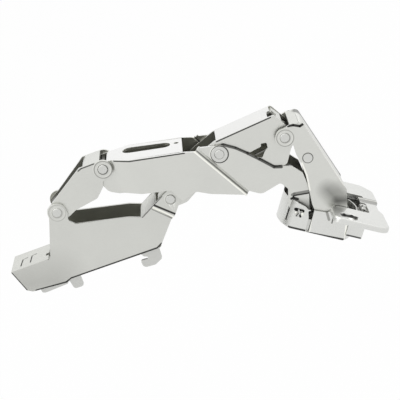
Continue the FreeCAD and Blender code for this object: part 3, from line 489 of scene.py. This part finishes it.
paintedLightAndSeams = {
    # arm: a broad painted shade band on the side, dark painted shade lines along its lower edges and at the
    # ear, a painted highlight line at the ear's step, painted highlight and shade rings at the pins, and dark
    # lines on the top web
    "nickelArm": (
        [("soft", (-8.0, 5.0), (8.0, 2.0), 18.0, 0.3, 0.4)]
        + joined("line", [(-9.2, 11.9), (-6.2, 2.1)], 0.6, 0.03, 0.9)
        + joined("line", [(-2.0, 0.3), (12.2, -0.8), (15.2, 0.2), (56.9, 0.0), (59.3, 1.3)], 0.55, 0.03, 0.95)
        + joined("line", [(8.8, 12.4), (10.3, 13.9)], 0.35, 0.2, 0.6)
        + joined("line", [(61.2, 18.3), (68.1, 10.9)], 0.3, 0.2, 0.7)
        + joined("line", [(61.9, 18.9), (68.9, 11.3)], 0.42, 1.0, 1.0)
        + joined("line", [(62.9, 19.5), (70.1, 12.4)], 0.62, 0.02, 0.95)
        + joined("line", [(72.3, 24.3), (76.4, 20.2)], 0.8, 0.01, 1.0)
        + joined("line", [(55.9, 16.3), (67.4, 22.5)], 0.4, 0.06, 0.8)
        + rivetRing(pivots["armFront"], 2.2, 0.12, 0.55)
        + rivetRing(pivots["armRear"], 2.2, 0.12, 0.4)
        + rivetRing(pivots["armRear"], 3.8, 0.2, 0.3)
        + joined("top", [(-4.85, -5.6, 12.4), (-4.45, 1.6, 12.4), (-2.3, 2.1, 12.4)], 0.42, 0.03, 0.85)
        + joined("top", [(-0.25, -5.0, 12.4), (0.0, 2.4, 12.4), (2.1, 2.9, 12.4)], 0.42, 0.03, 0.85)
    ),
    # rear link: a dark line along its web edge, and painted highlight and shade rings at its pivot
    "nickelLink": (
        joined("line", [(36.9, 46.4), (38.6, 47.0), (44.6, 47.05)], 0.36, 0.05, 0.85)
        + rivetRing(pivots["rearLink"], 2.2, 0.12, 0.5)
        + rivetRing(pivots["rearLink"], 3.95, 0.12, 0.55)
    ),
    # levers: dark painted shade lines along the plate edges, a painted highlight line beside a shade line on
    # the crank's bend, painted highlight and shade rings at the crossing, and a painted shade patch and dark
    # lines where the lever enters the cup
    "nickelLever": (
        joined("line", [(52.2, 45.15), (84.0, 38.45)], 0.36, 0.03, 0.95)
        + joined("line", [(98.9, 37.3), (124.9, 39.35)], 0.36, 0.03, 0.95)
        + joined("line", [(88.3, 37.6), (103.0, 10.4)], 0.42, 1.0, 1.0)
        + joined("line", [(89.1, 37.9), (103.8, 10.6)], 0.28, 0.12, 0.8)
        + joined("line", [(97.8, 35.8), (101.2, 35.1), (105.8, 31.8), (110.0, 27.6)], 0.6, 0.08, 0.9)
        + joined("line", [(110.0, 27.6), (114.0, 23.2), (118.9, 17.4), (122.0, 16.3)], 0.7, 0.06, 0.9)
        + rivetRing(pivots["crossing"], 3.85, 0.03, 0.95)
        + rivetRing(pivots["crossing"], 2.2, 0.15, 0.4)
        + [("soft", (123.0, -3.4), (129.0, -6.4), 4.0, 0.14, 0.7)]
        + joined("line", [(122.2, 2.2), (123.2, 2.35), (129.9, 1.2)], 0.75, 0.16, 0.8)
        + joined("line", [(121.6, 0.4), (122.6, 1.5), (124.1, 1.35), (130.2, 0.2)], 0.42, 0.02, 0.95)
        + joined("line", [(121.3, 0.6), (122.4, 0.6), (123.9, -0.6)], 0.7, 0.02, 0.95)
    ),
    # front link: a dark line along its top edge, painted highlight lines on its bend and rear edge, painted
    # highlight and shade rings at its pins, painted shade and reflection patches at its lower end, and
    # painted light and painted shade on the far cheek
    "nickelFront": (
        joined("line", [(130.9, 33.7), (133.1, 33.3), (135.7, 31.8), (137.6, 32.3)], 0.7, 0.012, 0.95)
        + joined("line", [(138.1, 31.9), (145.6, -1.2)], 0.6, 1.0, 0.8)
        + joined("line", [(131.1, 15.2), (131.3, 9.2), (130.3, 2.0)], 0.5, 1.0, 0.85)
        + rivetRing(pivots["frontLink"], 2.2, 0.12, 0.5)
        + rivetRing(pivots["frontLink"], 3.75, 0.14, 0.5)
        + [("ring", pivots["linkRivet"], 2.2, 0.34, 0.06, 0.8)]
        + [("soft", (137.8, -0.8), (140.2, -6.4), 5.8, 0.07, 0.55)]
        + [("soft", (142.2, -2.4), (144.4, -6.0), 5.0, 0.2, 0.4)]
        + [("soft", (139.9, -7.3), (144.4, -8.6), 3.0, 0.01, 0.62)]
        + [("top", (129.6, 9.9, 33.6), (131.2, 9.9, 28.6), 3.4, 0.85, 0.9)]
        + [("top", (138.2, 8.0, 33.0), (145.9, 8.0, -1.5), 4.2, 0.12, 0.8)]
    ),
    # cup: dark lines at its slits and edges, painted highlight lines beside the wall's slot and lower down,
    # the punched cross, a painted shade crescent in the screw hole, and a painted shade band with a painted
    # highlight line at the flange step
    "nickelCup": (
        joined("line", [(115.9, -10.8), (121.9, -15.0)], 0.6, 0.02, 0.95)
        + joined("line", [(123.6, -16.9), (137.0, -25.5)], 0.65, 0.02, 0.95)
        + joined("line", [(116.7, -7.2), (115.1, -10.6)], 0.4, 0.05, 0.9)
        + joined("line", [(119.4, -1.9), (117.0, -6.6)], 0.3, 0.3, 0.5)
        + joined("line", [(127.0, -7.6), (126.4, -9.8)], 0.85, 0.01, 1.0)
        + joined("line", [(126.2, -10.4), (123.0, -16.0)], 0.75, 0.3, 0.9)
        + joined("line", [(127.6, -9.0), (123.9, -16.3)], 0.3, 1.0, 0.9)
        + joined("line", [(134.2, -9.2), (133.9, -14.0)], 0.7, 0.25, 0.8)
        + joined("line", [(136.0, -7.8), (136.1, -13.6), (134.6, -16.0)], 0.35, 0.08, 0.85)
        + joined("line", [(140.2, -19.6), (137.5, -26.0)], 0.5, 1.0, 0.9)
        + punchedCross
        + joined("top", [onCup(16.4, -21.6, 6.7), onCup(18.2, -19.9, 6.4)], 1.0, 0.02, 0.95)
        + joined("top", [onCup(18.2, -19.9, 6.4), onCup(21.4, -19.7, 6.4)], 1.0, 0.02, 0.95)
        + joined("top", [onCup(21.4, -19.7, 6.4), onCup(23.4, -21.4, 6.7)], 1.0, 0.02, 0.95)
        + joined("top", [onCup(30.4, 5.5, 6.5), onCup(37.0, 5.7, 6.5)], 4.2, 0.3, 0.9)
        + joined("top", [onCup(28.6, 7.2, 6.5), onCup(37.6, 7.9, 6.5)], 0.7, 1.0, 1.0)
    ),
    "housingSheet": joined("line", [onCup(24.0, 0, -5.4)[::2], onCup(30.2, 0, -5.4)[::2]], 0.5, 0.03, 0.9),
    "pinSteel": punchedCross,
}

# a finish: its slot, tone and gloss, the way its sheet faces, its painted inside shade and painted top light,
# and how deep its marks lie
finishSettings = {
    "nickelArm": {
        "slot": "nickel_sheet", "tone": (0.67, 0.675, 0.64), "gloss": 0.36,
        "outward": (0.0, 0.0, 1.0), "paintedShadeTone": (0.27, 0.27, 0.225), "markDepth": (9.0, 50.0),
    },
    "nickelLink": {
        "slot": "nickel_sheet", "tone": (0.68, 0.685, 0.65), "gloss": 0.34,
        "outward": (-0.5, 0.0, 0.86), "paintedShadeTone": (0.19, 0.19, 0.155), "paintedTopLightTone": (0.74, 0.745, 0.73),
    },
    "nickelLever": {
        "slot": "nickel_sheet", "tone": (0.69, 0.695, 0.66), "gloss": 0.32,
        "outward": (0.2, 0.0, 0.98), "paintedShadeTone": (0.28, 0.28, 0.235), "paintedTopLightTone": (0.86, 0.86, 0.85),
    },
    "nickelFront": {
        "slot": "nickel_sheet", "tone": (0.69, 0.695, 0.66), "gloss": 0.32,
        "outward": (0.97, 0.0, 0.24), "paintedShadeTone": (0.19, 0.19, 0.155), "markDepth": (10.2, 50.0),
    },
    "nickelCup": {
        "slot": "nickel_cup", "tone": (0.73, 0.735, 0.71), "gloss": 0.26, "mottle": 0.04,
        "markDepth": (11.3, 13.2),
    },
    "zincSheet": {
        "slot": "zinc_sheet", "tone": (0.62, 0.625, 0.60), "gloss": 0.36,
        "outward": (0.0, 0.0, 1.0), "paintedShadeTone": (0.20, 0.20, 0.17),
    },
    # pins: a painted shade tone on their middle, between the plates
    "pinSteel": {
        "slot": "pin_steel", "tone": (0.66, 0.665, 0.64), "gloss": 0.26, "mottle": 0.03,
        "middle": 6.9, "middleTone": (0.12, 0.12, 0.11), "markDepth": (11.5, 50.0),
    },
    "screwSteel": {"slot": "screw_steel", "tone": (0.60, 0.60, 0.58), "gloss": 0.3},
    "springSteel": {"slot": "spring_steel", "tone": (0.26, 0.26, 0.24), "gloss": 0.34, "mottle": 0.1},
    "housingSheet": {
        "slot": "zinc_sheet", "tone": (0.73, 0.735, 0.71), "gloss": 0.3,
        "outward": (0.57, 0.0, 0.82), "paintedShadeTone": (0.09, 0.09, 0.08), "markDepth": (11.6, 13.0),
    },
    # flat dark tone that stands in for shade under the flange opening
    "paintedShadeSheet": {"slot": "zinc_sheet", "tone": (0.10, 0.10, 0.09), "gloss": 0.4, "mottle": 0.1},
    "insertPlastic": {
        "slot": "insert_plastic", "tone": (0.22, 0.22, 0.20), "gloss": 0.5,
        "metal": 0.0, "grain": 2.0, "bump": 0.3,
    },
}
finishes = {}
for finishName, finishValues in finishSettings.items():
    finishes[finishName] = makeFinish(finishName, finishValues)
print("finishes made")

# pressed plates and levers
pressedPlates = {
    "arm_channel": {
        "piece": "armChannel", "body": "arm", "finish": "nickelArm",
        "rim": 0.22, "bendRadius": 1.3,
        "bends": [((-9.35, 12.5), (8.8, 12.6), 9.6), ((54.9, 15.95), (62.8, 19.94), 9.6)],
    },
    "clip_base": {
        "piece": "clipBase", "body": "arm", "finish": "zincSheet",
        "rim": 0.18, "bendRadius": 0.9, "bends": [((14.5, 8.2), (57.5, 8.2), 8.25)],
    },
    "release_lever": {"piece": "releaseLever", "body": "release_lever", "finish": "zincSheet", "rim": 0.15},
    "rear_link": {
        "piece": "rearLink", "body": "rear_link", "finish": "nickelLink",
        "rim": 0.2, "bendRadius": 0.55, "bends": [((37.9, 47.4), (47.2, 47.4), 8.3)],
    },
    "cranked_lever": {
        "piece": "crankedLever", "body": "cranked_lever", "finish": "nickelLever",
        "rim": 0.2, "bendRadius": 0.55, "bends": [((60.0, 44.12), (83.5, 38.936), 11.6)],
    },
    "inner_lever": {
        "piece": "innerLever", "body": "inner_lever", "finish": "nickelLever",
        "rim": 0.2, "bendRadius": 0.55, "bends": [((98.8, 37.789), (125.2, 39.808), 8.1)],
    },
    "front_link": {
        "piece": "frontLink", "body": "front_link", "finish": "nickelFront",
        "rim": 0.22, "bendRadius": 1.3,
        "bends": [((137.2, 33.5), (145.5, -1.9), 10.7), ((131.6, 33.9), (137.2, 33.5), 10.7)],
    },
}
for nodeName, nodeSettings in pressedPlates.items():
    dressNode(nodeName, nodeSettings)
print("pressed plates dressed")

# cup, flange and what stands in them
cupPieces = {
    "cup_body": {"piece": "cupBoss", "body": "cup", "finish": "nickelCup", "rim": 0.16},
    "cup_flange": {"piece": "cupFlange", "body": "cup", "finish": "nickelCup", "rim": 0.14},
    "cup_insert": {"piece": "cupInsert", "body": "cup", "finish": "insertPlastic", "rim": 0.3},
    "flange_tab": {"piece": "flangeTab", "body": "cup", "finish": "zincSheet", "rim": 0.12},
    "cup_rear_pin": {"piece": "cupRearPin", "body": "cup", "finish": "pinSteel", "rim": 0.06},
    "cup_front_pin": {"piece": "cupFrontPin", "body": "cup", "finish": "pinSteel", "rim": 0.06},
}
for nodeName, nodeSettings in cupPieces.items():
    dressNode(nodeName, nodeSettings)
print("cup dressed")

# pins, collars, screws and small springs
smallPieces = {
    "arm_rear_pin": {"piece": "armRearPin", "body": "arm", "finish": "pinSteel", "rim": 0.1},
    "arm_front_pin": {"piece": "armFrontPin", "body": "arm", "finish": "pinSteel", "rim": 0.1},
    "rear_link_pin": {"piece": "rearLinkPin", "body": "cranked_lever", "finish": "pinSteel", "rim": 0.1},
    "crossing_pin": {"piece": "crossingPin", "body": "inner_lever", "finish": "pinSteel", "rim": 0.1},
    "crossing_collars": {
        "piece": "crossingCollars", "body": "cranked_lever", "finish": "pinSteel", "rim": 0.14,
    },
    "front_link_pin": {"piece": "frontLinkPin", "body": "inner_lever", "finish": "pinSteel", "rim": 0.1},
    "link_rivets": {"piece": "linkRivets", "body": "front_link", "finish": "pinSteel", "rim": 0.14},
    "rear_sleeve": {"piece": "rearSleeve", "body": "arm", "finish": "pinSteel", "rim": 0.15},
    "lever_pin": {"piece": "leverPin", "body": "arm", "finish": "pinSteel", "rim": 0.05},
    "depth_screw": {"piece": "depthScrew", "body": "depth_screw", "finish": "screwSteel", "rim": 0.08},
    "side_screw": {"piece": "sideScrew", "body": "side_screw", "finish": "screwSteel", "rim": 0.08},
    "lever_spring": {"piece": "leverSpring", "body": "arm", "finish": "springSteel", "rim": 0.05},
}
for nodeName, nodeSettings in smallPieces.items():
    dressNode(nodeName, nodeSettings)
print("pins and screws dressed")

# closing spring, wound on the front link pin
spring = {
    "wire": 0.5, "coil": 2.95, "turns": 9.5, "pitch": 1.04, "stepsPerTurn": 28,
    "legStart": (127.0, 25.95), "legEnd": (112.7, 24.4),
}


def windSpring(settings):
    centre = pivots["frontLink"]
    start = -settings["turns"] * settings["pitch"] / 2
    bpy.ops.object.select_all(action="DESELECT")
    bpy.ops.mesh.primitive_circle_add(
        vertices=12, radius=settings["wire"] * mm, fill_type="NOTHING",
        location=(settings["coil"] * mm, 0.0, 0.0), rotation=(0.0, 0.0, 0.0),
    )
    coil = bpy.context.object
    coil.name = "closingSpring"
    bpy.ops.object.transform_apply(location=True, rotation=True, scale=True)
    screw = coil.modifiers.new("wind", "SCREW")
    screw.axis = "Y"
    screw.angle = math.radians(360 * settings["turns"])
    screw.screw_offset = settings["turns"] * settings["pitch"] * mm
    screw.steps = int(settings["stepsPerTurn"] * settings["turns"])
    screw.render_steps = screw.steps
    applyAll(coil)
    coil.data.transform(Matrix.Translation((centre[0] * mm, start * mm, centre[1] * mm)))
    bpy.ops.object.select_all(action="DESELECT")
    a = Vector((settings["legStart"][0] * mm, start * mm, settings["legStart"][1] * mm))
    b = Vector((settings["legEnd"][0] * mm, start * mm, settings["legEnd"][1] * mm))
    middle = (a + b) / 2
    turn = (b - a).to_track_quat("Z", "Y").to_euler()
    bpy.ops.mesh.primitive_cylinder_add(
        vertices=12, radius=settings["wire"] * mm, depth=(b - a).length, location=middle, rotation=turn,
    )
    leg = bpy.context.object
    bpy.ops.object.transform_apply(location=True, rotation=True, scale=True)
    leg.select_set(True)
    coil.select_set(True)
    bpy.context.view_layer.objects.active = coil
    bpy.ops.object.join()
    editMesh(coil)
    bpy.ops.object.mode_set(mode="EDIT")
    bpy.ops.mesh.select_all(action="SELECT")
    bpy.ops.mesh.remove_doubles(threshold=0.0005 * mm)
    bpy.ops.mesh.select_all(action="DESELECT")
    bpy.ops.mesh.select_non_manifold()
    bpy.ops.mesh.edge_face_add()
    bpy.ops.mesh.select_all(action="SELECT")
    bpy.ops.mesh.normals_make_consistent(inside=False)
    bpy.ops.object.mode_set(mode="OBJECT")
    pickOnly(coil)
    bpy.ops.object.shade_smooth_by_angle(angle=math.radians(40))
    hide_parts("closing_spring")
    finishPiece(coil, "springSteel", "inner_lever")


windSpring(spring)
print("spring wound")

# a dark sheet as painted shade, a small coil and thin housing under the flange opening, and a rib in the
# wall's slot
# a block is given along, across and out of the cup, in mm
mouthPieces = {
    "mouthShadeTray": {"finish": "paintedShadeSheet", "blocks": [((28.2, 30.8), (-9.2, 9.2), (3.0, 3.9))]},
    "slotRib": {"finish": "zincSheet", "blocks": [((4.7, 6.3), (-11.7, -11.3), (-8.2, -2.2))]},
    "mouthHousing": {
        "finish": "housingSheet",
        "blocks": [
            ((23.3, 30.9), (-12.0, -11.4), (-5.8, 4.6)),
            ((23.3, 30.9), (11.4, 12.0), (-5.8, 4.6)),
            ((30.4, 30.9), (-11.4, 11.4), (-5.8, 4.6)),
        ],
    },
}
mouthCoil = {
    "centre": (29.6, 5.3), "across": (-5.6, 0.6), "radius": 1.2, "wire": 0.42,
    "turns": 5, "stepsPerTurn": 14,
}


def bendWire(name, points, radius):
    curve = bpy.data.curves.new(name, "CURVE")
    curve.dimensions = "3D"
    curve.bevel_depth = radius * mm
    curve.bevel_resolution = 4
    curve.use_fill_caps = True
    run = curve.splines.new("POLY")
    run.points.add(len(points) - 1)
    for spot, point in zip(run.points, points):
        spot.co = (point[0] * mm, point[1] * mm, point[2] * mm, 1.0)
    wire = bpy.data.objects.new(name, curve)
    bpy.context.collection.objects.link(wire)
    pickOnly(wire)
    bpy.ops.object.convert(target="MESH")
    wire = bpy.context.object
    bpy.ops.object.shade_smooth_by_angle(angle=math.radians(40))
    return wire


def placeBlock(along, across, out):
    bpy.ops.mesh.primitive_cube_add(size=1.0)
    block = bpy.context.object
    block.scale = [(high - low) * mm for low, high in (along, across, out)]
    block.rotation_euler = (0.0, cupTilt, 0.0)
    block.location = Vector(onCup(*[(low + high) / 2 for low, high in (along, across, out)])) * mm
    bpy.ops.object.transform_apply(location=True, rotation=True, scale=True)
    return block


def fillMouth(pieces, coil):
    for name, settings in pieces.items():
        blocks = [placeBlock(*extent) for extent in settings["blocks"]]
        bpy.ops.object.select_all(action="DESELECT")
        for block in blocks:
            block.select_set(True)
        bpy.context.view_layer.objects.active = blocks[0]
        if len(blocks) > 1:
            bpy.ops.object.join()
        piece = bpy.context.object
        piece.name = name
        edge = piece.modifiers.new("edge", "BEVEL")
        edge.width = 0.12 * mm
        edge.segments = 2
        applyAll(piece)
        bpy.ops.object.shade_smooth_by_angle(angle=math.radians(28))
        evenShading(piece)
        finishPiece(piece, settings["finish"], "cup")
    low, high = coil["across"]
    steps = coil["turns"] * coil["stepsPerTurn"]
    points = []
    for step in range(steps + 1):
        angle = 2 * math.pi * step / coil["stepsPerTurn"]
        across = low + (high - low) * step / steps
        along = coil["centre"][0] + coil["radius"] * math.cos(angle)
        points.append(onCup(along, across, coil["centre"][1] + coil["radius"] * math.sin(angle)))
    small = bendWire("mouthCoil", points, coil["wire"])
    finishPiece(small, "screwSteel", "cup")


fillMouth(mouthPieces, mouthCoil)
print("mouth filled")

# floor, lights and camera
stageSettings = {
    "floorHeight": -0.075,
    "floorSize": 6.0,
    "floorTone": 0.93,
    "worldTone": (1.0, 1.0, 1.0),
    "worldFill": 0.42,
    "paperShare": 0.98,
    "lamps": [
        ("topLamp", (0.02, -0.10, 0.75), (0.06, 0.0, 0.02), 0.9, 2.4),
        ("sideLamp", (-0.45, -0.55, 0.35), (0.07, 0.0, 0.02), 0.5, 0.7),
        ("backLamp", (0.45, 0.45, 0.45), (0.07, 0.0, 0.02), 0.5, 0.5),
    ],
}


# plain white where the camera looks past the hinge, and where its shiny faces look
def whiteBackground(tree, shader, output, share):
    path = tree.nodes.new("ShaderNodeLightPath")
    seen = mathNode(tree, "MAXIMUM", path.outputs["Is Camera Ray"], path.outputs["Is Glossy Ray"])
    seen = mathNode(tree, "MAXIMUM", seen, path.outputs["Is Transmission Ray"])
    white = tree.nodes.new("ShaderNodeBackground" if share is None else "ShaderNodeEmission")
    white.inputs["Color"].default_value = (1.0, 1.0, 1.0, 1.0)
    white.inputs["Strength"].default_value = 1.0
    mix = tree.nodes.new("ShaderNodeMixShader")
    if share is not None:
        seen = mathNode(tree, "MULTIPLY", seen, share)
    tree.links.new(seen, mix.inputs[0])
    tree.links.new(shader, mix.inputs[1])
    tree.links.new(white.outputs[0], mix.inputs[2])
    tree.links.new(mix.outputs[0], output)


def makeStage(settings):
    bpy.ops.object.select_all(action="DESELECT")
    middle = (0.07, 0.0, settings["floorHeight"])
    bpy.ops.mesh.primitive_plane_add(size=settings["floorSize"], location=middle)
    floor = bpy.context.object
    floor.name = "floor"
    paper = bpy.data.materials.new("paperFloor")
    paper.use_nodes = True
    shader = paper.node_tree.nodes["Principled BSDF"]
    tone = settings["floorTone"]
    shader.inputs["Base Color"].default_value = (tone, tone, tone, 1.0)
    shader.inputs["Roughness"].default_value = 0.9
    output = paper.node_tree.nodes["Material Output"]
    whiteBackground(paper.node_tree, shader.outputs[0], output.inputs["Surface"], settings["paperShare"])
    floor.data.materials.append(paper)
    world = bpy.data.worlds.new("paperWorld")
    bpy.context.scene.world = world
    world.use_nodes = True
    back = world.node_tree.nodes["Background"]
    back.inputs["Color"].default_value = (*settings["worldTone"], 1.0)
    back.inputs["Strength"].default_value = settings["worldFill"]
    worldOut = world.node_tree.nodes["World Output"]
    whiteBackground(world.node_tree, back.outputs[0], worldOut.inputs["Surface"], None)
    for name, place, target, size, power in settings["lamps"]:
        bpy.ops.object.light_add(type="AREA", location=place)
        lamp = bpy.context.object
        lamp.name = name
        lamp.data.shape = "SQUARE"
        lamp.data.size = size
        lamp.data.energy = power
        lamp.rotation_euler = (Vector(target) - Vector(place)).to_track_quat("-Z", "Y").to_euler()


# camera fitted to the photograph, in metres and in the hinge's own frame
cameraSettings = {
    "place": (0.13329, -0.57321, 0.21491),
    "right": (0.9379, -0.0384, -0.3447),
    "up": (0.3364, 0.3418, 0.8775),
    "forward": (-0.0841, 0.9390, -0.3335),
    "lens": 120.87,
    "sensorWidth": 36.0,
}


def makeCamera(settings):
    bpy.ops.object.camera_add()
    camera = bpy.context.object
    camera.name = "photoCamera"
    camera.data.lens = settings["lens"]
    camera.data.sensor_width = settings["sensorWidth"]
    back = -Vector(settings["forward"])
    turn = Matrix((Vector(settings["right"]), Vector(settings["up"]), back)).transposed().to_4x4()
    camera.matrix_world = Matrix.Translation(settings["place"]) @ turn
    camera.data.clip_start = 0.01
    camera.data.clip_end = 20.0
    bpy.context.scene.camera = camera


makeStage(stageSettings)
makeCamera(cameraSettings)
bpy.context.scene.view_settings.view_transform = "Standard"
print("stage and camera set")
